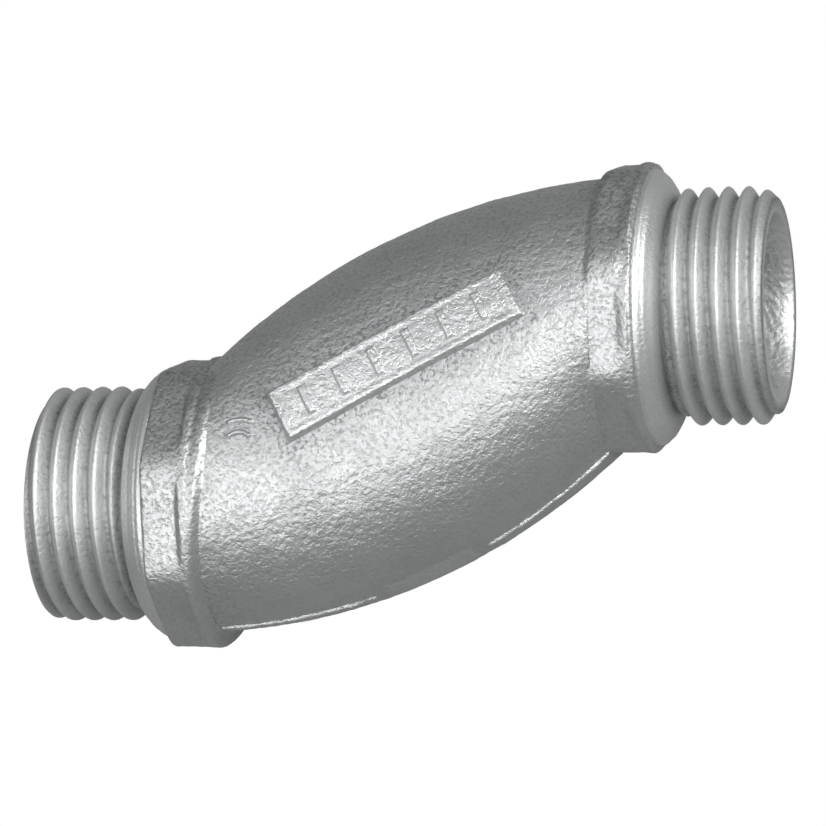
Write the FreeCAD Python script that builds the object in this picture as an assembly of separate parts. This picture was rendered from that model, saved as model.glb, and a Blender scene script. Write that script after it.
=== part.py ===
import FreeCAD, Part
import math
import os

# Half-inch offset nipple: a cast, zinc-coated pipe fitting that joins two threaded openings
# whose centre lines run parallel, one offset from the other.
# Frame: X along the threads, Y along the offset, Z square to the mould's parting plane.
# The origin lies halfway between the two end faces and halfway between the two thread axes.
# The barrel maps onto itself by half a turn about Z; the left collar is the wider by one ring.

# Driving dimensions, in millimetres
OVERALL_LENGTH = 65.4        # end face to end face
AXIS_OFFSET = 17.4           # between the two thread axes
THREAD_DIAMETER = 21.2       # over the crests, half-inch straight pipe thread
THREAD_PITCH = 25.4 / 14.0   # 14 threads to the inch
BORE_RADIUS = 7.9            # straight bore through each threaded end

THREAD_DEPTH = 1.15
THREAD_LENGTH = 8.4
THREAD_FLANK = math.radians(30.0)
CREST_FLAT = 0.26            # width of the flat left on each crest
GROOVE_OVER = 0.15           # how far the groove's cutter stands above the crests
END_CHAMFER = 0.5
RELIEF_LENGTH = 0.6          # plain groove between the thread and the shoulder
RELIEF_RADIUS = THREAD_DIAMETER / 2.0 - THREAD_DEPTH - 0.12

SHOULDER_LENGTH = 2.6        # rounded turned shoulder that the lock nut or hub comes up against
SHOULDER_RADIUS = 12.5
WRENCH_LENGTH = 3.0          # octagonal band for a wrench
WRENCH_FLAT = 12.5           # from the axis to a flat
WRENCH_CORNER = 13.4         # corners are rounded off at this radius
RING_LENGTHS = {"left": 1.4, "right": 0.0}   # plain ring between the octagon and the barrel
RING_RADIUS = 13.0
RING_EDGE = 0.5              # rounding of the ring's edge next to the barrel

BARREL_RISE = 13.0           # barrel above the axis where it leaves the collar steeply
BARREL_DROP = 11.5           # barrel below the axis on the other side
OUTLINE_TURN = math.radians(43.0)   # angle that each convex outline arc turns through
BARREL_HALF_HEIGHT_END = 12.6
BARREL_HALF_HEIGHT_MIDDLE = 13.2
WALL = 3.3
STATIONS = 11                # sections that each loft passes through

PAD_LENGTH = 23.2
PAD_WIDTH = 5.0
PAD_TILT = math.radians(28.5)
PAD_CENTRE = (0.7, 1.05)
PAD_CORNER = 0.6
PAD_RAISE = 0.55
BAR_RAISE = 0.3
BAR_COUNT = 6
BAR_SIZE = (0.8, 2.9)
BAR_SPACING = 3.4

PIP_CENTRE = (-12.9, -6.0)   # small cavity mark beside the left collar
PIP_SIZE = (2.4, 0.5)
PIP_GAP = 1.2
PIP_RAISE = 0.35

RIB_WIDTH = 0.9              # ridge left where the two mould halves met
RIB_RAISE = 0.4
GATE_FROM = -3.0             # stretch of the ridge where the metal was poured in
GATE_TO = 6.5
GATE_WIDTH = 5.0
GATE_RAISE = 0.3

BOTH_ENDS = THREAD_LENGTH + RELIEF_LENGTH + SHOULDER_LENGTH + WRENCH_LENGTH
BARREL_END = (OVERALL_LENGTH - sum(RING_LENGTHS.values())) / 2.0 - BOTH_ENDS
BARREL_MIDDLE = (RING_LENGTHS["left"] - RING_LENGTHS["right"]) / 2.0
HALF_OFFSET = AXIS_OFFSET / 2.0
BEYOND = 40.0                # reaches past the whole fitting
AXIS_X = FreeCAD.Vector(1, 0, 0)
AXIS_Z = FreeCAD.Vector(0, 0, 1)


def vector(x, y, z):
    return FreeCAD.Vector(x, y, z)


def outline_arc():
    """Centre and radius of the barrel's upper outline, an arc in the parting plane."""
    start_y = BARREL_RISE - HALF_OFFSET
    end_y = HALF_OFFSET + BARREL_DROP
    span = 2.0 * BARREL_END
    rise = end_y - start_y
    chord = math.hypot(span, rise)
    radius = chord / (2.0 * math.sin(OUTLINE_TURN / 2.0))
    to_centre = radius * math.cos(OUTLINE_TURN / 2.0)
    centre_x = to_centre * rise / chord
    centre_y = (start_y + end_y) / 2.0 - to_centre * span / chord
    return centre_x, centre_y, radius


def upper_outline(x):
    centre_x, centre_y, radius = outline_arc()
    return centre_y + math.sqrt(radius ** 2 - (x - centre_x) ** 2)


def barrel_section(x):
    """Centre height, half width along Y and half height along Z of the barrel at x."""
    top = upper_outline(x)
    bottom = -upper_outline(-x)
    bulge = math.cos(0.5 * math.pi * x / BARREL_END)
    half_height = BARREL_HALF_HEIGHT_END + (BARREL_HALF_HEIGHT_MIDDLE - BARREL_HALF_HEIGHT_END) * bulge
    return (top + bottom) / 2.0, (top - bottom) / 2.0, half_height


def passage_section(x):
    """The same three sizes for the passage, which ends round and in line with each bore."""
    centre, half_width, half_height = barrel_section(x)
    middle_width = barrel_section(0.0)[1] - WALL / math.cos(math.radians(26.0))
    middle_height = BARREL_HALF_HEIGHT_MIDDLE - WALL
    swell = math.cos(0.5 * math.pi * x / BARREL_END) ** 2
    end_gap = HALF_OFFSET + barrel_section(-BARREL_END)[0]
    centre += end_gap * x / BARREL_END
    return (centre, BORE_RADIUS + (middle_width - BORE_RADIUS) * swell,
            BORE_RADIUS + (middle_height - BORE_RADIUS) * swell)


def ellipse_wire(x, section, grow):
    """An ellipse square to X that always starts on its +Y side, so that lofts don't twist."""
    centre, half_width, half_height = section
    circle = Part.Circle(vector(0, 0, 0), AXIS_X, 1.0).toShape()
    stretch = FreeCAD.Matrix()
    stretch.scale(vector(1.0, half_width + grow, half_height + grow))
    wire = Part.Wire([circle.transformGeometry(stretch)])
    wire.translate(vector(x, centre, 0))
    return wire


def loft(section_at, grow=0.0):
    wires = []
    for index in range(STATIONS):
        x = BARREL_END * (2.0 * index / (STATIONS - 1) - 1.0)
        wires.append(ellipse_wire(x, section_at(x), grow))
    return Part.makeLoft(wires, True, False)


def cylinder(radius, length, x=0.0):
    return Part.makeCylinder(radius, length, vector(x, 0, 0), AXIS_X)


def octagon_band(x, length):
    corner = WRENCH_FLAT / math.cos(math.pi / 8.0)
    points = []
    for index in range(9):
        angle = index * math.pi / 4.0
        points.append(vector(x, corner * math.cos(angle), corner * math.sin(angle)))
    face = Part.Face(Part.makePolygon(points))
    return face.extrude(vector(length, 0, 0)).common(cylinder(WRENCH_CORNER, length, x))


def collar(ring_length):
    """Ring, where there is one, and wrench octagon, from the barrel's end face at x = 0 outwards."""
    solid = octagon_band(ring_length, WRENCH_LENGTH)
    if ring_length:
        ring = cylinder(RING_RADIUS, ring_length)
        solid = ring.makeFillet(RING_EDGE, [ring_edge_at(ring, 0.0)]).fuse(solid)
    return solid.cut(cylinder(BORE_RADIUS, BEYOND)).removeSplitter()


def ring_edge_at(solid, x):
    for edge in solid.Edges:
        box = edge.BoundBox
        if abs(box.XMin - x) < 1e-6 and box.XLength < 1e-6:
            return edge
    raise ValueError("no round edge there")


def shoulder(ring_length):
    """A quarter of an oval turned about the axis, from the octagon down to the relief groove."""
    start = ring_length + WRENCH_LENGTH
    end = start + SHOULDER_LENGTH
    drop = SHOULDER_RADIUS - RELIEF_RADIUS
    diagonal = math.sqrt(0.5)
    middle = vector(start + SHOULDER_LENGTH * diagonal, RELIEF_RADIUS + drop * diagonal, 0)
    curve = Part.Arc(vector(start, SHOULDER_RADIUS, 0), middle, vector(end, RELIEF_RADIUS, 0)).toShape()
    straight = Part.makePolygon([vector(end, RELIEF_RADIUS, 0), vector(end, BORE_RADIUS, 0),
                                 vector(start, BORE_RADIUS, 0), vector(start, SHOULDER_RADIUS, 0)])
    outline = Part.Wire([curve] + straight.Edges)
    return Part.Face(outline).revolve(vector(0, 0, 0), AXIS_X, 360)


def thread_groove(x_from, length):
    """The V of metal that the die takes out, as a solid wound along the thread."""
    root = THREAD_DIAMETER / 2.0 - THREAD_DEPTH
    over = THREAD_DIAMETER / 2.0 + GROOVE_OVER
    half_root = 0.5 * (THREAD_PITCH - CREST_FLAT) - THREAD_DEPTH * math.tan(THREAD_FLANK)
    half_over = half_root + (over - root) * math.tan(THREAD_FLANK)
    helix = Part.makeHelix(THREAD_PITCH, length, root)
    corners = [(root, -half_root), (over, -half_over), (over, half_over), (root, half_root)]
    profile = Part.makePolygon([vector(r, 0, z) for r, z in corners + corners[:1]])
    groove = Part.Wire(helix).makePipeShell([profile], True, True)
    groove.rotate(vector(0, 0, 0), vector(0, 1, 0), 90)
    groove.translate(vector(x_from, 0, 0))
    return groove


def spigot(ring_length):
    """Relief groove, thread and chamfered end, with the bore through them."""
    start = ring_length + WRENCH_LENGTH + SHOULDER_LENGTH
    thread_start = start + RELIEF_LENGTH
    end = thread_start + THREAD_LENGTH
    crest = THREAD_DIAMETER / 2.0
    outline = [(start, BORE_RADIUS), (start, RELIEF_RADIUS), (thread_start, RELIEF_RADIUS),
               (thread_start, crest), (end - END_CHAMFER, crest), (end, crest - END_CHAMFER),
               (end, BORE_RADIUS)]
    wire = Part.makePolygon([vector(x, radius, 0) for x, radius in outline + outline[:1]])
    blank = Part.Face(wire).revolve(vector(0, 0, 0), AXIS_X, 360)
    groove = thread_groove(thread_start - 0.4 * THREAD_PITCH, THREAD_LENGTH + 1.6 * THREAD_PITCH)
    return blank.cut(groove)


def on_right(solid):
    placed = solid.copy()
    placed.translate(vector(BARREL_END, HALF_OFFSET, 0))
    return placed


def on_left(solid):
    placed = on_right(solid)
    placed.rotate(vector(0, 0, 0), AXIS_Z, 180)
    return placed


def skin(low, high, prism):
    """The part of a prism that stands on the barrel, between two heights above its surface."""
    return prism.common(loft(barrel_section, high)).cut(loft(barrel_section, low))


def upright_plate(length, width, corner=0.0):
    plate = Part.makeBox(length, width, BEYOND, vector(-length / 2.0, -width / 2.0, 0))
    if corner:
        uprights = [edge for edge in plate.Edges if edge.BoundBox.ZLength > 1.0]
        plate = plate.makeFillet(corner, uprights)
    return plate


def along_pad(solid, step=0.0):
    """Turn a plate to the pad's tilt and place it, step millimetres along the pad."""
    placed = solid.copy()
    placed.translate(vector(step, 0, 0))
    placed.rotate(vector(0, 0, 0), AXIS_Z, math.degrees(PAD_TILT))
    placed.translate(vector(PAD_CENTRE[0], PAD_CENTRE[1], 0))
    return placed


def marking_pad():
    return skin(0.0, PAD_RAISE, along_pad(upright_plate(PAD_LENGTH, PAD_WIDTH, PAD_CORNER)))


def pad_bars():
    bars = []
    for index in range(BAR_COUNT):
        step = (index - (BAR_COUNT - 1) / 2.0) * BAR_SPACING
        plate = along_pad(upright_plate(BAR_SIZE[0], BAR_SIZE[1]), step)
        bars.append(skin(PAD_RAISE, PAD_RAISE + BAR_RAISE, plate))
    return Part.makeCompound(bars)


def cavity_pips():
    pips = []
    for side in (-0.5, 0.5):
        plate = upright_plate(PIP_SIZE[0], PIP_SIZE[1])
        plate.translate(vector(PIP_CENTRE[0], PIP_CENTRE[1] + side * PIP_GAP, 0))
        pips.append(skin(0.0, PIP_RAISE, plate))
    return Part.makeCompound(pips)


def rib_slab(x_from, x_to, y_side, width):
    low_y = -BEYOND if y_side < 0 else 0.0
    return Part.makeBox(x_to - x_from, BEYOND, width, vector(x_from, low_y, -width / 2.0))


def parting_rib_front():
    pieces = []
    for x_from, x_to in ((-BARREL_END, GATE_FROM), (GATE_TO, BARREL_END)):
        pieces.append(skin(0.0, RIB_RAISE, rib_slab(x_from, x_to, -1, RIB_WIDTH)))
    return Part.makeCompound(pieces)


def parting_rib_back():
    return skin(0.0, RIB_RAISE, rib_slab(-BARREL_END, BARREL_END, 1, RIB_WIDTH))


def gate_stub():
    return skin(0.0, GATE_RAISE, rib_slab(GATE_FROM, GATE_TO, -1, GATE_WIDTH))


def offset_barrel():
    return loft(barrel_section).cut(loft(passage_section))


def export(name, shape):
    """Write one piece, moved from the barrel's own frame to the fitting's."""
    placed = shape.copy()
    placed.translate(vector(BARREL_MIDDLE, 0, 0))
    placed.exportStep("parts/" + name + ".step")
    volume = sum(solid.Volume for solid in placed.Solids)
    print(name, len(placed.Solids), "solids", round(volume, 1), "mm3", "valid" if placed.isValid() else "INVALID")


os.makedirs("parts", exist_ok=True)
export("offset_barrel", offset_barrel())
for side, place in (("left", on_left), ("right", on_right)):
    ring_length = RING_LENGTHS[side]
    export(side + "_collar", place(collar(ring_length)))
    export(side + "_turned_shoulder", place(shoulder(ring_length)))
    export(side + "_thread_spigot", place(spigot(ring_length)))
export("marking_pad", marking_pad())
export("pad_bars", pad_bars())
export("cavity_pips", cavity_pips())
export("parting_rib_front", parting_rib_front())
export("parting_rib_back", parting_rib_back())
export("gate_stub", gate_stub())
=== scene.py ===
import math
import bpy
import numpy as np
from mathutils import Matrix, Vector, noise


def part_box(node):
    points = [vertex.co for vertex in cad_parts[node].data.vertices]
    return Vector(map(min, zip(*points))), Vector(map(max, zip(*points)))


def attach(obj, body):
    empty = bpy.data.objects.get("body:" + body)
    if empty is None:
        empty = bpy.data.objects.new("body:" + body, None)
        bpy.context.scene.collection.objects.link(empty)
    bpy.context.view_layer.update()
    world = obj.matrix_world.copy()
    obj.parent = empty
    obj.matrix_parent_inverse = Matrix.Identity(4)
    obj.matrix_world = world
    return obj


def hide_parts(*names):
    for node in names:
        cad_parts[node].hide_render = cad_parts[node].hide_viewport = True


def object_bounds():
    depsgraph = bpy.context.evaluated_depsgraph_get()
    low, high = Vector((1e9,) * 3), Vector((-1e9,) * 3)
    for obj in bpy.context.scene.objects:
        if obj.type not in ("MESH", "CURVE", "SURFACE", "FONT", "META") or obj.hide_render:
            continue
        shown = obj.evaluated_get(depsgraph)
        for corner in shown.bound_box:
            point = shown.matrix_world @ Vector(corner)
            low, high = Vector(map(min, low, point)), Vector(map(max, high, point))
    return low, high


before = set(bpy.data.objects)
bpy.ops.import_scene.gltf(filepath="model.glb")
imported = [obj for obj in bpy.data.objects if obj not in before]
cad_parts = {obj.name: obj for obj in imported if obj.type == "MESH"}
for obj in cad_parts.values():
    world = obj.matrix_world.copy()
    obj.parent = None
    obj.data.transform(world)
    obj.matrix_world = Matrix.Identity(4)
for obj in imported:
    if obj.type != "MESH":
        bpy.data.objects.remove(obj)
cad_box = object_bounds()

# --- Barrel ---------------------------------------------------------------------------------
# The hollow bent body of the casting: malleable iron poured in a sand mould, then zinc coated.
# Its two outlines in the parting plane are equal arcs, one the half turn of the other, and the
# sand leaves it pebbled all over.
MM = 0.001
BODY = "root"


def node_span(node):
    """Lowest and highest corner of a node, in millimetres."""
    low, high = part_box(node)
    return np.array(low) / MM, np.array(high) / MM


BARREL_LOW, BARREL_HIGH = node_span("offset_barrel")
BARREL_MIDDLE = (BARREL_LOW[0] + BARREL_HIGH[0]) / 2
BARREL_END = (BARREL_HIGH[0] - BARREL_LOW[0]) / 2
SPIGOT_LOW, SPIGOT_HIGH = node_span("right_thread_spigot")
HALF_OFFSET = (SPIGOT_LOW[1] + SPIGOT_HIGH[1]) / 2
BORE_RADIUS = 7.9

OUTLINE_TURN = math.radians(43.0)
BARREL_RISE = 13.0
BARREL_DROP = 11.5
HALF_HEIGHT_END = 12.6
HALF_HEIGHT_MIDDLE = 13.2
WALL = 3.3
SIDE_WALL = 1.12 * WALL
LUMP_SIZE = 2.4              # the sand's coarse marks
SPECK_SIZE = 0.5             # and its fine ones
OUTSIDE_SAND = (0.06, 0.04)  # how far the two stand up
PASSAGE_SAND = (0.08, 0.03)
COLUMNS = 520
ROW_STEP = 0.16

start_y = BARREL_RISE - HALF_OFFSET
end_y = HALF_OFFSET + BARREL_DROP
chord = math.hypot(2 * BARREL_END, end_y - start_y)
OUTLINE_RADIUS = chord / (2 * math.sin(OUTLINE_TURN / 2))
to_centre = OUTLINE_RADIUS * math.cos(OUTLINE_TURN / 2)
OUTLINE_CENTRE = (to_centre * (end_y - start_y) / chord,
                  (start_y + end_y) / 2 - to_centre * 2 * BARREL_END / chord)


def upper_outline(x):
    return OUTLINE_CENTRE[1] + np.sqrt(OUTLINE_RADIUS ** 2 - (x - OUTLINE_CENTRE[0]) ** 2)


def barrel_section(x):
    """Centre, half width and half height of the barrel's oval at x."""
    x = np.clip(x, -BARREL_END, BARREL_END)
    top = upper_outline(x)
    bottom = -upper_outline(-x)
    bulge = np.cos(0.5 * np.pi * x / BARREL_END)
    half_height = HALF_HEIGHT_END + (HALF_HEIGHT_MIDDLE - HALF_HEIGHT_END) * bulge
    return (top + bottom) / 2, (top - bottom) / 2, half_height


def axis_height(x):
    """The line that sections are drawn around: the thread axes, joined by a gentle S."""
    inside = np.clip(x, -BARREL_END, BARREL_END)
    end_gap = HALF_OFFSET - barrel_section(BARREL_END)[0]
    return barrel_section(inside)[0] + end_gap * inside / BARREL_END


def oval_radius(angle, shift, half_width, half_height):
    """Distance from a point shifted off an oval's centre to the oval, in one direction."""
    cos, sin = np.cos(angle), np.sin(angle)
    a = (cos / half_width) ** 2 + (sin / half_height) ** 2
    b = shift * cos / half_width ** 2
    c = (shift / half_width) ** 2 - 1
    return (np.sqrt(b * b - a * c) - b) / a


def barrel_radius(x, angle):
    centre, half_width, half_height = barrel_section(x)
    return oval_radius(angle, axis_height(x) - centre, half_width, half_height)


def passage_radius(x, angle):
    """The hollow inside: round at the bores and swelling with the barrel between them."""
    swell = np.cos(0.5 * np.pi * np.clip(x / BARREL_END, -1, 1)) ** 2
    half_width = BORE_RADIUS + (barrel_section(0.0)[1] - SIDE_WALL - BORE_RADIUS) * swell
    half_height = BORE_RADIUS + (HALF_HEIGHT_MIDDLE - WALL - BORE_RADIUS) * swell
    return oval_radius(angle, 0.0, half_width, half_height)


def pebbles(points, size, seed):
    """Smooth noise from -1 to 1 at each point, with lumps of the given size in millimetres."""
    offset = Vector((seed * 17.3, seed * 5.9, seed * 31.7))
    return np.array([noise.noise(Vector(p) / size + offset) for p in points.tolist()])


def section_points(x, angle, radius):
    """Points of the sections, as rows along x and columns round the axis."""
    y = axis_height(x) + radius * np.cos(angle)
    return np.stack([x + 0 * radius, y, radius * np.sin(angle)], -1)


def sand_cast(points, angle, coarse, fine, seed):
    """Push points in or out along their radius, as the grains of the mould leave them."""
    flat = points.reshape(-1, 3)
    lumps = coarse * pebbles(flat, LUMP_SIZE, seed) + fine * pebbles(flat, SPECK_SIZE, seed + 1)
    lumps = lumps.reshape(angle.shape)
    moved = points.copy()
    moved[..., 1] += lumps * np.cos(angle)
    moved[..., 2] += lumps * np.sin(angle)
    return moved


def grid_faces(rows, columns, closed, start=0, flip=False):
    """Four-cornered faces of a grid of points, joined round when closed."""
    row = np.arange(rows - 1)[:, None]
    column = np.arange(columns if closed else columns - 1)[None, :]
    after = (column + 1) % columns
    quads = np.stack([row * columns + column, (row + 1) * columns + column,
                      (row + 1) * columns + after, row * columns + after], -1).reshape(-1, 4)
    return (quads[:, ::-1] if flip else quads) + start


def add_piece(name, points, faces, replaced=()):
    """A smooth-shaded piece, from points in millimetres about the barrel's middle."""
    mesh = bpy.data.meshes.new(name)
    mesh.from_pydata(((points + [BARREL_MIDDLE, 0, 0]) * MM).tolist(), [], faces.tolist())
    mesh.validate()
    mesh.shade_smooth()
    piece = bpy.data.objects.new(name, mesh)
    bpy.context.collection.objects.link(piece)
    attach(piece, BODY)
    if replaced:
        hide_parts(*replaced)
    return piece


def add_tube(name, outer, inner, replaced=()):
    """A closed tube wall from its outer and inner skins, which have the same rows."""
    rows, columns = outer.shape[:2]
    points = np.concatenate([outer.reshape(-1, 3), inner.reshape(-1, 3)])
    inside = rows * columns
    skins = [grid_faces(rows, columns, True), grid_faces(rows, columns, True, inside, flip=True)]
    column = np.arange(columns)
    after = (column + 1) % columns
    last = (rows - 1) * columns
    near_rim = np.stack([column, after, inside + after, inside + column], -1)
    far_rim = np.stack([last + after, last + column, inside + last + column, inside + last + after], -1)
    return add_piece(name, points, np.concatenate([*skins, near_rim, far_rim]), replaced)


def tube_grid(x_from, x_to, step=ROW_STEP):
    rows = int(round((x_to - x_from) / step)) + 1
    x = np.linspace(x_from, x_to, rows)
    angle = np.linspace(0, 2 * np.pi, COLUMNS, endpoint=False)
    return np.meshgrid(x, angle, indexing="ij")


x, angle = tube_grid(-BARREL_END, BARREL_END)
outer = sand_cast(section_points(x, angle, barrel_radius(x, angle)), angle, *OUTSIDE_SAND, 1)
inner = sand_cast(section_points(x, angle, passage_radius(x, angle)), angle, *PASSAGE_SAND, 5)
barrel = add_tube("barrel", outer, inner, ["offset_barrel"])


PITS_AND_SHADE_SIDE = math.radians(55.0)
COLLAR_SHADE = 4.0           # how far from a collar the painted shade of extra pits reaches
PASSAGE_PITTING = 0.5
PAD_LENGTH = 23.2
PAD_WIDTH = 5.0
PAD_TILT = math.radians(28.5)
PAD_CENTRE = (0.7, 1.05)
# painted shade: the barrel darkened round the marking pad, this much and this far
PAD_SHADE = 0.75
PAD_SHADE_REACH = 1.8


def store_pits_and_shade(piece, amounts):
    """Store at each point how many dark pits it gets, partly real and partly painted shade: fully at 1,
    and with a painted shade over the whole surface too up to 2.
    """
    layer = piece.data.attributes.new("pitting", "FLOAT", "POINT")
    layer.data.foreach_set("value", np.ravel(amounts).astype(np.float32))


def pits_and_shade_side(x, angle):
    """Pits are heaviest on the +Y flank, partly real and partly a painted shade on that side, and beside
    the collars, where they are painted shade in the corners.
    """
    flank = 0.5 + 0.5 * np.cos(angle - PITS_AND_SHADE_SIDE)
    near_collar = np.clip(1 - (BARREL_END - np.abs(x)) / COLLAR_SHADE, 0, 1)
    return np.clip(0.8 * flank ** 2 + 0.4 * near_collar, 0, 1)


def round_pad(points):
    """1 at the edge of the marking pad, falling to 0 a few millimetres off, on the upper half: where the
    painted shade round the pad lies.
    """
    x, y = points[..., 0] - PAD_CENTRE[0], points[..., 1] - PAD_CENTRE[1]
    along = np.abs(x * math.cos(PAD_TILT) + y * math.sin(PAD_TILT)) - PAD_LENGTH / 2
    across = np.abs(y * math.cos(PAD_TILT) - x * math.sin(PAD_TILT)) - PAD_WIDTH / 2
    away = np.hypot(np.clip(along, 0, None), np.clip(across, 0, None))
    return np.exp(-(away / PAD_SHADE_REACH) ** 2) * (points[..., 2] > 0)


# pits on the barrel, partly painted shade on the +Y flank and by the collars, plus painted shade round the
# pad
store_pits_and_shade(barrel, [pits_and_shade_side(x, angle) + PAD_SHADE * round_pad(outer), PASSAGE_PITTING + 0 * x])


# --- Zinc finish ----------------------------------------------------------------------------
# Hot zinc over sand-cast iron: a pale grey skin, satin, with fine grains standing up in it and darker
# specks where the coating is thin. Where a stored mask asks for it, extra specks and an overall darkening
# are painted shade. Machined faces take the same skin but smoother.
GRAIN_SCALES = {"coarse": 950.0, "fine": 2300.0, "pits": 2700.0, "cloud": 190.0}    # cells to the metre
PIT_DEPTH = 0.3
CLOUD_SHADE = 0.22
DARK_ROUGHENS = 0.15
PALE_ZINC = (0.63, 0.64, 0.64)
DARK_ZINC = (0.29, 0.30, 0.30)


def new_group(name, inputs, outputs):
    group = bpy.data.node_groups.new(name, "ShaderNodeTree")
    for label, default in inputs:
        socket = group.interface.new_socket(label, in_out="INPUT", socket_type="NodeSocketFloat")
        socket.default_value = default
    for label, kind in outputs:
        group.interface.new_socket(label, in_out="OUTPUT", socket_type="NodeSocket" + kind)
    return group, group.nodes.new("NodeGroupInput"), group.nodes.new("NodeGroupOutput")


def link(tree, source, target):
    tree.links.new(source, target)


def maths(tree, kind, first, second=None):
    node = tree.nodes.new("ShaderNodeMath")
    node.operation = kind
    for index, value in enumerate((first, second)):
        if value is None:
            continue
        if isinstance(value, (int, float)):
            node.inputs[index].default_value = value
        else:
            link(tree, value, node.inputs[index])
    return node.outputs[0]


def noise_height(tree, vector, scale, detail, rough):
    node = tree.nodes.new("ShaderNodeTexNoise")
    node.inputs["Scale"].default_value = scale
    node.inputs["Detail"].default_value = detail
    node.inputs["Roughness"].default_value = rough
    link(tree, vector, node.inputs["Vector"])
    return node.outputs["Fac"]


def stretch(tree, value, low, high):
    """0 below low, 1 above high, straight between."""
    node = tree.nodes.new("ShaderNodeMapRange")
    node.inputs["From Min"].default_value = low
    node.inputs["From Max"].default_value = high
    link(tree, value, node.inputs["Value"])
    return node.outputs["Result"]


cast_grain, grain_in, grain_out = new_group(
    "cast_grain", [("Coarse", 1.0), ("Fine", 1.0)],
    [("Height", "Float"), ("Pits", "Float"), ("Cloud", "Float")])
place = cast_grain.nodes.new("ShaderNodeTexCoord")
coarse = noise_height(cast_grain, place.outputs["Object"], GRAIN_SCALES["coarse"], 2.0, 0.6)
fine = noise_height(cast_grain, place.outputs["Object"], GRAIN_SCALES["fine"], 2.0, 0.6)
pits = noise_height(cast_grain, place.outputs["Object"], GRAIN_SCALES["pits"], 2.0, 0.6)
cloud = noise_height(cast_grain, place.outputs["Object"], GRAIN_SCALES["cloud"], 3.0, 0.55)
pit_mask = stretch(cast_grain, pits, 0.52, 0.36)
height = maths(cast_grain, "ADD", maths(cast_grain, "MULTIPLY", coarse, grain_in.outputs["Coarse"]),
               maths(cast_grain, "MULTIPLY", fine, grain_in.outputs["Fine"]))
height = maths(cast_grain, "SUBTRACT", height, maths(cast_grain, "MULTIPLY", pit_mask, PIT_DEPTH))
link(cast_grain, height, grain_out.inputs["Height"])
link(cast_grain, pit_mask, grain_out.inputs["Pits"])
link(cast_grain, stretch(cast_grain, cloud, 0.3, 0.7), grain_out.inputs["Cloud"])


def zinc_material(name, pale, dark, rough, coarse, fine, bump, pitting,
                  mask=None, mask_share=1.0, painted_shade=(1.0, 3.0)):
    """Metal with the cast grain as bump, in millimetres, and dark pits. The mask is a value stored on the
    points: it adds to the pits, and over its second range it darkens the whole surface, as painted shade."""
    material = bpy.data.materials.new(name)
    material.use_nodes = True
    tree = material.node_tree
    shader = tree.nodes["Principled BSDF"]
    shader.inputs["Metallic"].default_value = 1.0
    grain = tree.nodes.new("ShaderNodeGroup")
    grain.node_tree = cast_grain
    grain.inputs["Coarse"].default_value = coarse
    grain.inputs["Fine"].default_value = fine
    mix = tree.nodes.new("ShaderNodeMix")
    mix.data_type = "RGBA"
    mix.inputs["A"].default_value = (*pale, 1)
    mix.inputs["B"].default_value = (*dark, 1)
    share = pitting
    amount = maths(tree, "MULTIPLY", grain.outputs["Cloud"], CLOUD_SHADE)
    if mask:
        attribute = tree.nodes.new("ShaderNodeAttribute")
        attribute.attribute_name = mask
        share = maths(tree, "ADD", maths(tree, "MULTIPLY", attribute.outputs["Fac"], mask_share), pitting)
        amount = maths(tree, "ADD", amount, stretch(tree, attribute.outputs["Fac"], painted_shade[0], painted_shade[1]))
    amount = maths(tree, "ADD", amount, maths(tree, "MULTIPLY", grain.outputs["Pits"], share))
    clamp = tree.nodes.new("ShaderNodeClamp")
    link(tree, amount, clamp.inputs["Value"])
    link(tree, clamp.outputs[0], mix.inputs["Factor"])
    link(tree, mix.outputs["Result"], shader.inputs["Base Color"])
    roughness = maths(tree, "ADD", maths(tree, "MULTIPLY", clamp.outputs[0], DARK_ROUGHENS), rough)
    link(tree, roughness, shader.inputs["Roughness"])
    relief = tree.nodes.new("ShaderNodeBump")
    relief.inputs["Strength"].default_value = 1.0
    relief.inputs["Distance"].default_value = bump * MM
    link(tree, grain.outputs["Height"], relief.inputs["Height"])
    link(tree, relief.outputs["Normal"], shader.inputs["Normal"])
    return material


# its pitting mask brings painted shade as well as pits
cast_zinc = zinc_material("cast_zinc", PALE_ZINC, DARK_ZINC, 0.46, 0.7, 0.9, 0.08, 0.08, "pitting", 0.55)
barrel.data.materials.append(cast_zinc)


# --- Collars --------------------------------------------------------------------------------
# At each end of the barrel the casting has an octagonal band for a wrench and a plain ring, as
# cast: the left ring stands against the barrel, the right one beyond the octagon. Their corners
# are rounded off, and the foot runs into the barrel by a small fillet.
ENDS = {"left": -1, "right": 1}
COLLAR_IN = {"left": BARREL_END - 1.15, "right": BARREL_END}
COLLAR_OUT = {"left": BARREL_END + 4.4, "right": BARREL_END + 3.8}
COLLAR_WANE = {"left": 1.7, "right": 0.0}      # how much the ring narrows where the barrel dips in
RING_RADIUS = {"left": 13.1, "right": 12.95}
RING_SPAN = {"left": (COLLAR_IN["left"], BARREL_END + 0.95),
             "right": (BARREL_END + 2.7, COLLAR_OUT["right"])}
RING_GROOVE = 0.16           # the two halves of the left ring, faintly parted
GROOVE_WIDTH = 0.22
WRENCH_FLAT = 12.45
WRENCH_CORNER = 13.25
EDGE_SOFTNESS = {"left": 2.0, "right": 4.0}    # in rows of the collar's grid
CORNER_SOFTNESS = 6.0                          # in columns
COLLAR_EDGE = 0.4
COLLAR_STEP = 0.08
COLLAR_SAND = (0.05, 0.03)
# the way the collar facets face that get painted shade
SHADED_COLLAR_SIDE = math.radians(50.0)
FILLET_REACH = 0.6           # how far the collar's fillet runs down onto the barrel
FILLET_SINK = 0.08


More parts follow.
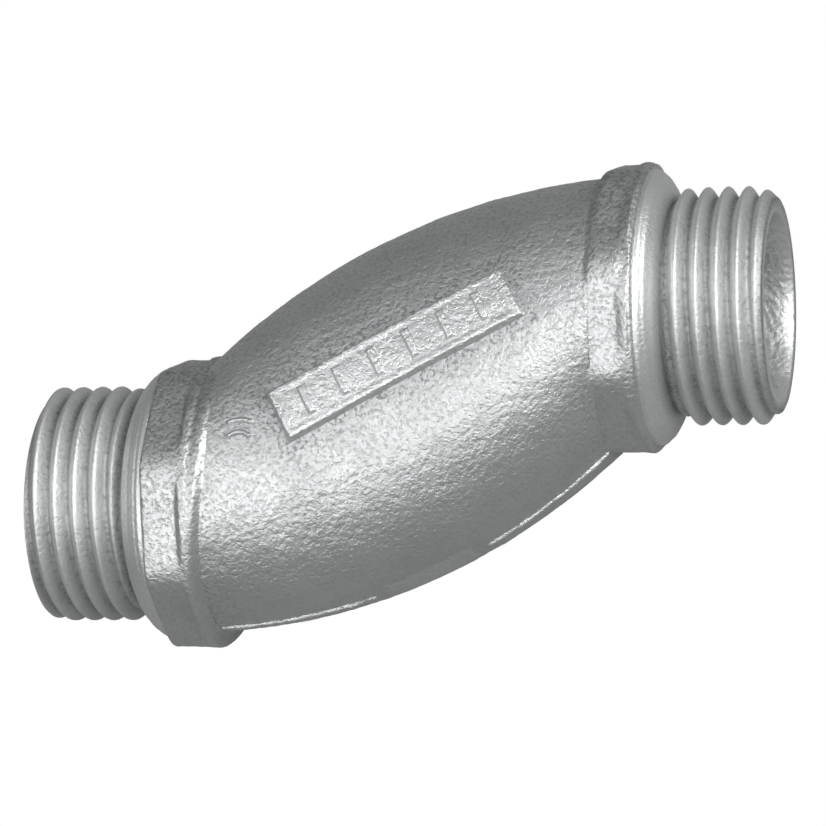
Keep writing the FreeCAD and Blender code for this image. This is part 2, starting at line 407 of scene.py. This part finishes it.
def softened(radius, along, around):
    """Blur a grid of radii, to round the edges between faces."""
    def bell(width):
        reach = max(1, int(3 * width))
        weights = np.exp(-0.5 * (np.arange(-reach, reach + 1) / width) ** 2)
        return weights / weights.sum(), reach
    weights, reach = bell(along)
    padded = np.pad(radius, ((reach, reach), (0, 0)), mode="edge")
    radius = sum(weight * padded[row:row + radius.shape[0]] for row, weight in enumerate(weights))
    weights, reach = bell(around)
    return sum(weight * np.roll(radius, column - reach, axis=1) for column, weight in enumerate(weights))


def collar_radius(x, angle, end):
    """Radius of the ring, octagon and fillet, for x on the right half of the fitting."""
    turn = np.mod(angle, np.pi / 4) - np.pi / 8
    octagon = np.minimum(WRENCH_FLAT / np.cos(turn), WRENCH_CORNER)
    ring_from, ring_to = RING_SPAN[end]
    in_groove = np.exp(-((x - (ring_from + ring_to) / 2) / GROOVE_WIDTH) ** 2) if end == "left" else 0
    shape = np.where((x >= ring_from) & (x < ring_to), RING_RADIUS[end] - RING_GROOVE * in_groove, octagon)
    foot = barrel_radius(x, angle)
    inner = COLLAR_IN[end] + COLLAR_WANE[end] * np.clip(np.cos(angle), 0, 1)
    up = np.clip(1 - (inner - x) / FILLET_REACH, 0, 1)
    top = RING_RADIUS[end] if end == "left" else octagon
    fillet = foot + (top - foot) * up ** 3 - FILLET_SINK * (1 - up)
    return np.where(x < inner, fillet, shape)


def edge_round(inward, size):
    """How far a rounded edge stands above its rim, at a distance in from the rim."""
    t = np.clip(inward / size, 0, 1)
    return np.where(t < 1, size * (np.sqrt(1 - (1 - t) ** 2) - 1), 1.0)


def place_end(points, side):
    """Points made for the right end, turned half way about Z for the left end."""
    return points if side > 0 else points * np.array([-1.0, -1.0, 1.0])


for end, side in ENDS.items():
    x, angle = tube_grid(COLLAR_IN[end] - FILLET_REACH, COLLAR_OUT[end], COLLAR_STEP)
    radius = softened(collar_radius(x, angle, end), EDGE_SOFTNESS[end], CORNER_SOFTNESS)
    radius = np.minimum(radius, radius[-1] + edge_round(COLLAR_OUT[end] - x, COLLAR_EDGE))
    points = sand_cast(section_points(x, angle, radius), angle, *COLLAR_SAND, 20 + side)
    hollow = section_points(x, angle, passage_radius(x, angle))
    collar = add_tube(end + "_collar_casting", place_end(points, side), place_end(hollow, side),
                      [end + "_collar"])
    # painted shade: facets facing +Y and up get more pits and are darkened all over, on a few pits
    # everywhere
    real_angle = angle if side > 0 else np.pi - angle
    painted_shade = np.clip(np.cos(real_angle - SHADED_COLLAR_SIDE), 0, 1)
    store_pits_and_shade(collar, [0.2 + 1.5 * painted_shade ** 2, PASSAGE_PITTING + 0 * x])
    collar.data.materials.append(cast_zinc)


# --- Turned shoulders -----------------------------------------------------------------------
# Beyond each collar the casting is turned to a rounded shoulder that runs down to the thread, and
# then coated. The tool leaves fine rings.
SHOULDER_TOP = 12.3
SHOULDER_FOOT = 9.4
DOME_POWER = 1.65            # 1 would be a plain cone, 2 a quarter of an oval
TOOL_RING = 0.025
TOOL_FEED = 0.55
SEAM_LAP = 0.02              # each piece starts this far inside the one before


def span_along(node, side):
    """Where a node at one end starts and stops, as distances from the barrel's middle."""
    low, high = node_span(node)
    return sorted(side * (end - BARREL_MIDDLE) for end in (low[0], high[0]))


turned_zinc = zinc_material("turned_zinc", (0.80, 0.81, 0.81), (0.44, 0.45, 0.45), 0.46, 0.4, 0.6,
                            0.05, 0.15)
for end, side in ENDS.items():
    cone_from, cone_to = COLLAR_OUT[end], span_along(end + "_turned_shoulder", side)[1]
    x, angle = tube_grid(cone_from - SEAM_LAP, cone_to, COLLAR_STEP)
    along = (x - cone_from) / (cone_to - cone_from)
    dome = (1 - np.clip(along, 0, 1) ** DOME_POWER) ** (1 / DOME_POWER)
    radius = SHOULDER_FOOT + (SHOULDER_TOP - SHOULDER_FOOT) * dome
    radius += TOOL_RING * np.sin(2 * np.pi * x / TOOL_FEED)
    points = section_points(x, angle, radius)
    hollow = section_points(x, angle, 0 * x + BORE_RADIUS)
    shoulder = add_tube(end + "_shoulder_cone", place_end(points, side), place_end(hollow, side),
                        [end + "_turned_shoulder"])
    shoulder.data.materials.append(turned_zinc)


# --- Threaded spigots -----------------------------------------------------------------------
# A straight half-inch pipe thread, cut right-handed with a die on the cast end and coated after, so its
# crests are soft; its roots are darkened with painted shade. A plain groove runs it out.
PITCH = 25.4 / 14
CREST_RADIUS = (SPIGOT_HIGH[1] - SPIGOT_LOW[1]) / 2
THREAD_DEPTH = 1.15
CREST_FLAT = 0.26
FLANK_SLOPE = math.tan(math.radians(60))
RUN_OUT_SLOPE = 1.6
RELIEF_RADIUS = CREST_RADIUS - THREAD_DEPTH - 0.12
RELIEF_LENGTH = 0.35
END_CHAMFER = {"left": 0.25, "right": 1.15}
THREAD_PHASE = {"left": 0.98, "right": 0.26}   # in turns
THREAD_STEP = 0.075
THREAD_SOFTNESS = (2.2, 1.0)                   # in rows and columns
THREAD_SAND = (0.025, 0.012)
BORE_SAND = (0.10, 0.04)
MOUTH_EDGE = 0.12
MOUTH_FLARE = 0.45
FLARE_REACH = 0.5
# painted shade in the thread roots, darker with depth
ROOT_SHADE = 0.62


def thread_radius(x, angle, thread_from, end_face, chamfer, phase):
    turn = np.mod(x / PITCH - angle / (2 * np.pi) + phase, 1.0)
    from_crest = np.abs(turn - 0.5) * PITCH
    cut = np.clip(from_crest - CREST_FLAT / 2, 0, None) * FLANK_SLOPE
    ridge = CREST_RADIUS - np.minimum(cut, THREAD_DEPTH)
    ridge = np.minimum(ridge, RELIEF_RADIUS + np.clip(RUN_OUT_SLOPE * (x - thread_from), 0, None))
    return np.minimum(ridge, CREST_RADIUS - chamfer + (end_face - x))


# the root_depth mask adds pits and painted shade in the roots
thread_zinc = zinc_material("thread_zinc", (0.74, 0.75, 0.75), (0.26, 0.27, 0.26), 0.54, 0.5, 0.6,
                            0.05, 0.12, "root_depth", 0.3, (0.0, 1.0))
for end, side in ENDS.items():
    relief_from, end_face = span_along(end + "_thread_spigot", side)
    x, angle = tube_grid(relief_from - SEAM_LAP, end_face, THREAD_STEP)
    radius = softened(thread_radius(x, angle, relief_from + RELIEF_LENGTH, end_face,
                                    END_CHAMFER[end], THREAD_PHASE[end]), *THREAD_SOFTNESS)
    radius[-1] -= MOUTH_EDGE
    points = sand_cast(section_points(x, angle, radius), angle, *THREAD_SAND, 40 + side)
    mouth = BORE_RADIUS + MOUTH_FLARE * np.exp(-(end_face - x) / FLARE_REACH)
    hollow = sand_cast(section_points(x, angle, mouth), angle, *BORE_SAND, 50 + side)
    spigot = add_tube(end + "_threaded_end", place_end(points, side), place_end(hollow, side),
                      [end + "_thread_spigot"])
    # painted shade in the roots: the deeper the cut, the darker
    depth = np.concatenate([((CREST_RADIUS - radius) / THREAD_DEPTH).ravel(), np.zeros(radius.size)])
    layer = spigot.data.attributes.new("root_depth", "FLOAT", "POINT")
    layer.data.foreach_set("value", (ROOT_SHADE * np.clip(depth, 0, 1.1) ** 3).astype(np.float32))
    spigot.data.materials.append(thread_zinc)


# --- Marking pad ----------------------------------------------------------------------------
# A low raised rectangle on the upper half of the mould, with a thin border. It carries a plain
# row of upright bars and no words.
PAD_RAISE = 0.5
PAD_RIM = 0.08
PAD_STEP = 0.11
SINK = 0.35                  # how far a plate is bedded in the barrel
PAD_MARGIN = 0.25            # the plate runs this far past the pad, under the skin
NUDGE = 0.01                 # the short step that slopes are measured over


def on_barrel(x, y, height):
    """Points standing a height above the barrel's upper skin over x and y."""
    centre, half_width, half_height = barrel_section(x)
    across = np.clip((y - centre) / half_width, -0.999, 0.999)
    z = half_height * np.sqrt(1 - across ** 2)
    centre_2, half_width_2, half_height_2 = barrel_section(x + NUDGE)
    across_2 = np.clip((y - centre_2) / half_width_2, -0.999, 0.999)
    slope_x = (half_height_2 * np.sqrt(1 - across_2 ** 2) - z) / NUDGE
    slope_y = -half_height * across / (half_width * np.sqrt(1 - across ** 2))
    normal = np.stack([-slope_x, -slope_y, np.ones_like(z)], -1)
    normal /= np.linalg.norm(normal, axis=-1, keepdims=True)
    return np.stack([x, y, z], -1) + normal * height[..., None]


def add_slab(name, top, bottom, replaced=()):
    """A closed plate between an upper and a lower grid of points."""
    rows, columns = top.shape[:2]
    under = rows * columns
    index = np.arange(under).reshape(rows, columns)
    rim = np.concatenate([index[0, :-1], index[:-1, -1], index[-1, :0:-1], index[:0:-1, 0]])
    after = np.roll(rim, -1)
    walls = np.stack([rim, after, after + under, rim + under], -1)
    points = np.concatenate([top.reshape(-1, 3), bottom.reshape(-1, 3)])
    faces = [grid_faces(rows, columns, False), grid_faces(rows, columns, False, under, flip=True), walls]
    return add_piece(name, points, np.concatenate(faces), replaced)


def ramp(distance, width):
    """0 outside an edge, 1 inside, with a rounded slope of the given width between."""
    t = np.clip(distance / width, 0, 1)
    return t * t * (3 - 2 * t)


def pad_place(along, across):
    cos, sin = math.cos(PAD_TILT), math.sin(PAD_TILT)
    return PAD_CENTRE[0] + along * cos - across * sin, PAD_CENTRE[1] + along * sin + across * cos


def plate_grid(length, width, step):
    along = np.linspace(-length / 2, length / 2, int(length / step) + 1)
    across = np.linspace(-width / 2, width / 2, int(width / step) + 1)
    return np.meshgrid(along, across, indexing="ij")


def pad_height(along, across):
    inside = np.minimum(PAD_LENGTH / 2 - np.abs(along), PAD_WIDTH / 2 - np.abs(across))
    rim = ramp(inside, 0.35) - ramp(inside - 0.55, 0.35)
    return PAD_RAISE * ramp(inside + 0.15, 0.5) + PAD_RIM * rim


along, across = plate_grid(PAD_LENGTH + 2 * PAD_MARGIN, PAD_WIDTH + 2 * PAD_MARGIN, PAD_STEP)
x, y = pad_place(along, across)
from_rim = np.minimum(PAD_LENGTH / 2 + PAD_MARGIN - np.abs(along),
                      PAD_WIDTH / 2 + PAD_MARGIN - np.abs(across))
height = pad_height(along, across) - SINK * (1 - ramp(from_rim, 0.2))
flat = np.stack([x, y, 0 * x], -1).reshape(-1, 3)
height += (0.05 * pebbles(flat, 1.1, 60) + 0.03 * pebbles(flat, 0.5, 61)).reshape(x.shape)
pad = add_slab("marking_plate", on_barrel(x, y, height), on_barrel(x, y, 0 * x - SINK - 0.15),
               ["marking_pad"])
pad_zinc = zinc_material("pad_zinc", (0.80, 0.81, 0.81), (0.34, 0.35, 0.35), 0.42, 0.6, 0.8, 0.10, 0.10)
pad.data.materials.append(pad_zinc)

BAR_COUNT = 6
BAR_SIZE = (1.0, 2.9)
BAR_SPACING = 3.4
BAR_RAISE = 0.3
for number in range(BAR_COUNT):
    along, across = plate_grid(*BAR_SIZE, 0.1)
    inside = np.minimum(BAR_SIZE[0] / 2 - np.abs(along), BAR_SIZE[1] / 2 - np.abs(across))
    x, y = pad_place(along + (number - (BAR_COUNT - 1) / 2) * BAR_SPACING, across)
    height = PAD_RAISE - 0.05 + (BAR_RAISE + 0.05) * ramp(inside, 0.3)
    bar = add_slab("pad_bar_%d" % (number + 1), on_barrel(x, y, height), on_barrel(x, y, 0 * x + 0.2))
    bar.data.materials.append(pad_zinc)
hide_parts("pad_bars")


# --- Cavity pips ----------------------------------------------------------------------------
# Two short curved ridges beside the left collar, which tell the pattern's cavities apart.
PIP_CENTRE = (-12.9, -6.0)
PIP_LENGTH = 2.6
PIP_WIDTH = 0.7
PIP_BENDS = (1.5, 2.6)
for number, radius in enumerate(PIP_BENDS):
    along, across = plate_grid(PIP_LENGTH, PIP_WIDTH, 0.07)
    bend = along / radius
    x = PIP_CENTRE[0] + (radius + across) * np.sin(bend)
    y = PIP_CENTRE[1] - 1.2 + (radius + across) * np.cos(bend)
    inside = np.minimum(PIP_LENGTH / 2 - np.abs(along), PIP_WIDTH / 2 - np.abs(across))
    height = -0.05 + 0.33 * ramp(inside, 0.3)
    pip = add_slab("cavity_pip_%d" % (number + 1), on_barrel(x, y, height), on_barrel(x, y, 0 * x - 0.3))
    pip.data.materials.append(cast_zinc)
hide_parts("cavity_pips")


# --- Parting ridge and gate -----------------------------------------------------------------
# Iron creeps between the mould halves and leaves a thin ridge round the barrel's equator. On the
# near side it is broken by the gate, where the metal came in, which is ground down after.
RIB_WIDTH = 0.7
RIB_RAISE = 0.26
RIB_EDGE = 0.3
GATE_FROM, GATE_TO = -3.0, 6.5
GATE_WIDTH = 5.0
GATE_RAISE = 0.14
GATE_EDGE = 1.6
STRIP_SINK = 0.12


def beside_barrel(x, z, side, height):
    """Points standing a height off the barrel's flank, at a level z on its +Y or -Y side."""
    centre, half_width, half_height = barrel_section(x)
    slope = np.sqrt(1 - (z / half_height) ** 2)
    y = centre + side * half_width * slope
    centre_2, half_width_2, half_height_2 = barrel_section(x + NUDGE)
    y_2 = centre_2 + side * half_width_2 * np.sqrt(1 - (z / half_height_2) ** 2)
    slope_x = (y_2 - y) / NUDGE
    slope_z = -side * half_width * z / (half_height ** 2 * slope)
    normal = np.stack([-side * slope_x, side * np.ones_like(z), -side * slope_z], -1)
    normal /= np.linalg.norm(normal, axis=-1, keepdims=True)
    return np.stack([x, y, z], -1) + normal * height[..., None]


def add_flank_strip(name, x_from, x_to, width, side, raise_by, edge, seed, replaced=()):
    """A narrow raised strip along the middle of one flank, with a ragged top."""
    along, z = plate_grid(x_to - x_from, width, 0.08)
    x = along + (x_from + x_to) / 2
    inside = np.minimum((x_to - x_from) / 2 - np.abs(along), width / 2 - np.abs(z))
    flat = np.stack([x, 0 * x, z], -1).reshape(-1, 3)
    ragged = 1 + 0.35 * pebbles(flat * np.array([1, 1, 0.2]), 1.6, seed).reshape(x.shape)
    height = -STRIP_SINK + (raise_by * ragged + STRIP_SINK) * ramp(inside, edge)
    top = beside_barrel(x, z, side, height)
    bottom = beside_barrel(x, z, side, 0 * x - 0.4)
    if side > 0:
        top, bottom = top[:, ::-1], bottom[:, ::-1]
    piece = add_slab(name, top, bottom, replaced)
    piece.data.materials.append(flash_zinc)
    return piece


flash_zinc = zinc_material("flash_zinc", (0.68, 0.69, 0.69), (0.36, 0.37, 0.37), 0.45, 0.6, 0.6, 0.10, 0.2)
add_flank_strip("parting_ridge_left", -BARREL_END, GATE_FROM, RIB_WIDTH, -1, RIB_RAISE, RIB_EDGE, 70,
                ["parting_rib_front"])
add_flank_strip("parting_ridge_right", GATE_TO, BARREL_END, RIB_WIDTH, -1, RIB_RAISE, RIB_EDGE, 71)
add_flank_strip("parting_ridge_back", -BARREL_END, BARREL_END, RIB_WIDTH, 1, RIB_RAISE, RIB_EDGE, 72,
                ["parting_rib_back"])
add_flank_strip("gate_scar", GATE_FROM, GATE_TO, GATE_WIDTH, -1, GATE_RAISE, GATE_EDGE, 73,
                ["gate_stub"])


# --- Floor, light and camera ----------------------------------------------------------------
# The fitting lies flat on a plain pale floor under soft boxes, seen from above and a little to
# the right of its middle.
FLOOR_LEVEL = cad_box[0].z
FLOOR_REACH = 3.0
FLOOR_GREY = (0.22, 0.22, 0.22, 1)
floor_mesh = bpy.data.meshes.new("floor")
floor_corners = [(FLOOR_REACH * x, FLOOR_REACH * y, FLOOR_LEVEL)
                 for x, y in ((-1, -1), (1, -1), (1, 1), (-1, 1))]
floor_mesh.from_pydata(floor_corners, [], [(0, 1, 2, 3)])
floor = bpy.data.objects.new("floor", floor_mesh)
bpy.context.collection.objects.link(floor)
floor_paint = bpy.data.materials.new("floor_paint")
floor_paint.use_nodes = True
tree = floor_paint.node_tree
paint = tree.nodes["Principled BSDF"]
paint.inputs["Base Color"].default_value = FLOOR_GREY
paint.inputs["Roughness"].default_value = 0.9
glow = tree.nodes.new("ShaderNodeEmission")
glow.inputs["Color"].default_value = (1, 1, 1, 1)
glow.inputs["Strength"].default_value = 1.0
rays = tree.nodes.new("ShaderNodeLightPath")
blend = tree.nodes.new("ShaderNodeMixShader")
link(tree, rays.outputs["Is Camera Ray"], blend.inputs[0])
link(tree, paint.outputs[0], blend.inputs[1])
link(tree, glow.outputs[0], blend.inputs[2])
link(tree, blend.outputs[0], tree.nodes["Material Output"].inputs["Surface"])
floor_mesh.materials.append(floor_paint)

VIEW_DISTANCE = 0.4052
VIEW_YAW = 0.2438            # towards +X
VIEW_ROLL = 0.2696           # towards -Y
VIEW_TWIST = -0.0149
VIEW_LENS = 198.0
VIEW_SLIDE = (-0.00074, -0.00065)


def view_axes(yaw, roll, twist=0.0):
    """Directions to the viewer, to the right and up of the picture."""
    toward = Vector((math.sin(yaw), -math.sin(roll) * math.cos(yaw), math.cos(roll) * math.cos(yaw)))
    right = Vector((math.cos(yaw), math.sin(roll) * math.sin(yaw), -math.cos(roll) * math.sin(yaw)))
    up = toward.cross(right)
    cos, sin = math.cos(twist), math.sin(twist)
    return toward, cos * right + sin * up, cos * up - sin * right


def facing(toward, right, up, place):
    matrix = Matrix((right, up, toward)).transposed().to_4x4()
    matrix.translation = place
    return matrix


camera_data = bpy.data.cameras.new("camera")
camera_data.lens = VIEW_LENS
camera_data.sensor_width = 36.0
camera_data.clip_start = 0.01
camera = bpy.data.objects.new("camera", camera_data)
bpy.context.collection.objects.link(camera)
toward, right, up = view_axes(VIEW_YAW, VIEW_ROLL, VIEW_TWIST)
middle = Vector((BARREL_MIDDLE * MM, 0, 0))
camera.matrix_world = facing(toward, right, up, middle + toward * VIEW_DISTANCE
                             + right * VIEW_SLIDE[0] + up * VIEW_SLIDE[1])
bpy.context.scene.camera = camera


BOX_DISTANCE = 0.60
SOFT_BOXES = {               # turn from the camera in yaw and roll, size in metres, power in watts
    "key_box": (0.33, -0.16, (0.22, 0.26), 1.05),
    "side_box": (0.60, -0.66, (0.30, 0.30), 2.1),
    "left_box": (-0.45, 0.30, (0.40, 0.14), 1.05),
    "far_box": (-0.85, -0.30, (0.25, 0.25), 0.5),
}


def add_soft_box(name, yaw, roll, size, power):
    data = bpy.data.lights.new(name, "AREA")
    data.shape = "RECTANGLE"
    data.size, data.size_y = size
    data.energy = power
    light = bpy.data.objects.new(name, data)
    bpy.context.collection.objects.link(light)
    toward, right, up = view_axes(yaw, roll)
    light.matrix_world = facing(toward, right, up, toward * BOX_DISTANCE)


for name, (yaw, roll, size, power) in SOFT_BOXES.items():
    add_soft_box(name, VIEW_YAW + yaw, VIEW_ROLL + roll, size, power)

SKY_LOW = 0.16               # brightness of the surroundings low down
SKY_RISE = 0.30              # and how much more there is overhead
world = bpy.data.worlds.new("studio")
world.use_nodes = True
tree = world.node_tree
sky = tree.nodes["Background"]
sky.inputs["Color"].default_value = (0.97, 0.99, 1.0, 1)
heading = tree.nodes.new("ShaderNodeSeparateXYZ")
link(tree, tree.nodes.new("ShaderNodeTexCoord").outputs["Generated"], heading.inputs[0])
overhead = stretch(tree, heading.outputs["Z"], 0.15, 0.85)
brightness = maths(tree, "ADD", maths(tree, "MULTIPLY", overhead, SKY_RISE), SKY_LOW)
link(tree, brightness, sky.inputs["Strength"])
bpy.context.scene.world = world
bpy.context.scene.view_settings.view_transform = "Standard"
